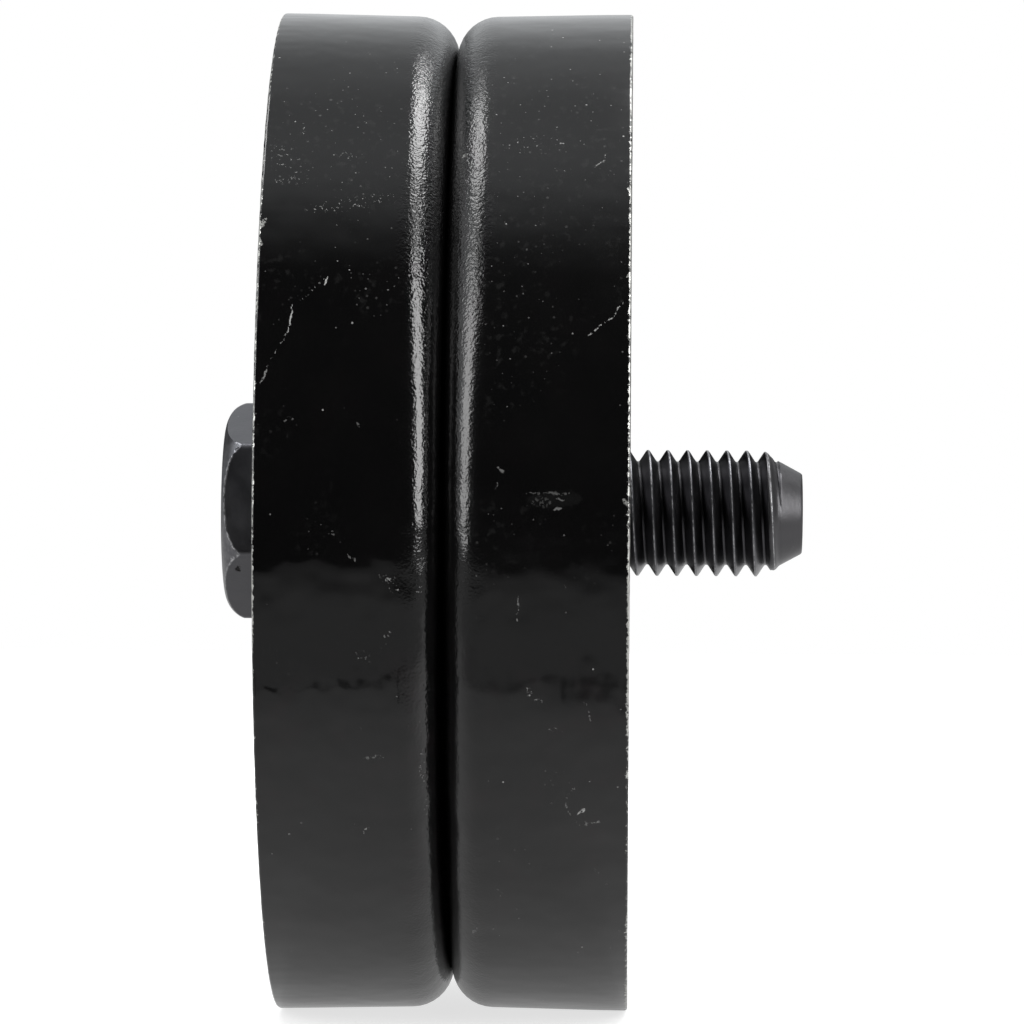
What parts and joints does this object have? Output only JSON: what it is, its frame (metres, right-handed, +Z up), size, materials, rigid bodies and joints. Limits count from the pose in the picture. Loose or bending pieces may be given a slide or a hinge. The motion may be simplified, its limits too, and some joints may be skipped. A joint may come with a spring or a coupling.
{
  "type": "smooth idler pulley",
  "caption": "Pressed-steel idler pulley for the flat back of a poly-v belt: two flared cups back to back, riveted round a sealed ball bearing, with its mounting bolt.",
  "frame": {"origin": "on the spin axis, in the plane where the two rim halves meet", "axes": "+Y along the spin axis, from the bolt's head to its thread; +Z up, as in the picture; +X towards the viewer"},
  "size_m": [0.063, 0.0368, 0.063],
  "materials": {
    "black_paint": "gloss",
    "zinc_steel": "satin",
    "bearing_steel": "polished",
    "ball_steel": "polished",
    "cage_steel": "satin",
    "seal_rubber": "matte",
    "bush_steel": "satin",
    "black_steel": "satin"
  },
  "bodies": {
    "mounting": {"mounting_bolt": "black_steel", "front_bush": "bush_steel", "rear_bush": "bush_steel", "dust_shield": "zinc_steel", "bearing_inner_ring": "bearing_steel"},
    "pulley": {"front_rim_half": "black_paint", "rear_rim_half": "black_paint", "web_rivets": "zinc_steel", "bearing_outer_ring": "bearing_steel", "front_seal": "seal_rubber", "rear_seal": "seal_rubber"},
    "ball_cage": {"cage_front_half": "cage_steel", "cage_rear_half": "cage_steel", "cage_rivets": "cage_steel"},
    "ball_1": {"ball_1": "ball_steel"},
    "ball_2": {"ball_2": "ball_steel"},
    "ball_3": {"ball_3": "ball_steel"},
    "ball_4": {"ball_4": "ball_steel"},
    "ball_5": {"ball_5": "ball_steel"},
    "ball_6": {"ball_6": "ball_steel"},
    "ball_7": {"ball_7": "ball_steel"},
    "ball_8": {"ball_8": "ball_steel"}
  },
  "joints": [
    {"name": "pulley_spin", "type": "hinge", "parent": "mounting", "child": "pulley", "pos_m": [0, 0, 0], "axis": [0, 1, 0], "continuous": true},
    {"name": "cage_spin", "type": "hinge", "parent": "mounting", "child": "ball_cage", "pos_m": [0, 0, 0], "axis": [0, 1, 0], "continuous": true},
    {"name": "ball_1_roll", "type": "hinge", "parent": "ball_cage", "child": "ball_1", "pos_m": [0, 0, 0.0125], "axis": [0, 1, 0], "continuous": true},
    {"name": "ball_2_roll", "type": "hinge", "parent": "ball_cage", "child": "ball_2", "pos_m": [0.00884, 0, 0.00884], "axis": [0, 1, 0], "continuous": true},
    {"name": "ball_3_roll", "type": "hinge", "parent": "ball_cage", "child": "ball_3", "pos_m": [0.0125, 0, 0], "axis": [0, 1, 0], "continuous": true},
    {"name": "ball_4_roll", "type": "hinge", "parent": "ball_cage", "child": "ball_4", "pos_m": [0.00884, 0, -0.00884], "axis": [0, 1, 0], "continuous": true},
    {"name": "ball_5_roll", "type": "hinge", "parent": "ball_cage", "child": "ball_5", "pos_m": [0, 0, -0.0125], "axis": [0, 1, 0], "continuous": true},
    {"name": "ball_6_roll", "type": "hinge", "parent": "ball_cage", "child": "ball_6", "pos_m": [-0.00884, 0, -0.00884], "axis": [0, 1, 0], "continuous": true},
    {"name": "ball_7_roll", "type": "hinge", "parent": "ball_cage", "child": "ball_7", "pos_m": [-0.0125, 0, 0], "axis": [0, 1, 0], "continuous": true},
    {"name": "ball_8_roll", "type": "hinge", "parent": "ball_cage", "child": "ball_8", "pos_m": [-0.00884, 0, 0.00884], "axis": [0, 1, 0], "continuous": true}
  ],
  "couplings": [
    {"joint": "cage_spin", "follows": "pulley_spin", "ratio": 0.619},
    {"joint": "ball_1_roll", "follows": "pulley_spin", "ratio": 1.9818},
    {"joint": "ball_2_roll", "follows": "pulley_spin", "ratio": 1.9818},
    {"joint": "ball_3_roll", "follows": "pulley_spin", "ratio": 1.9818},
    {"joint": "ball_4_roll", "follows": "pulley_spin", "ratio": 1.9818},
    {"joint": "ball_5_roll", "follows": "pulley_spin", "ratio": 1.9818},
    {"joint": "ball_6_roll", "follows": "pulley_spin", "ratio": 1.9818},
    {"joint": "ball_7_roll", "follows": "pulley_spin", "ratio": 1.9818},
    {"joint": "ball_8_roll", "follows": "pulley_spin", "ratio": 1.9818}
  ]
}
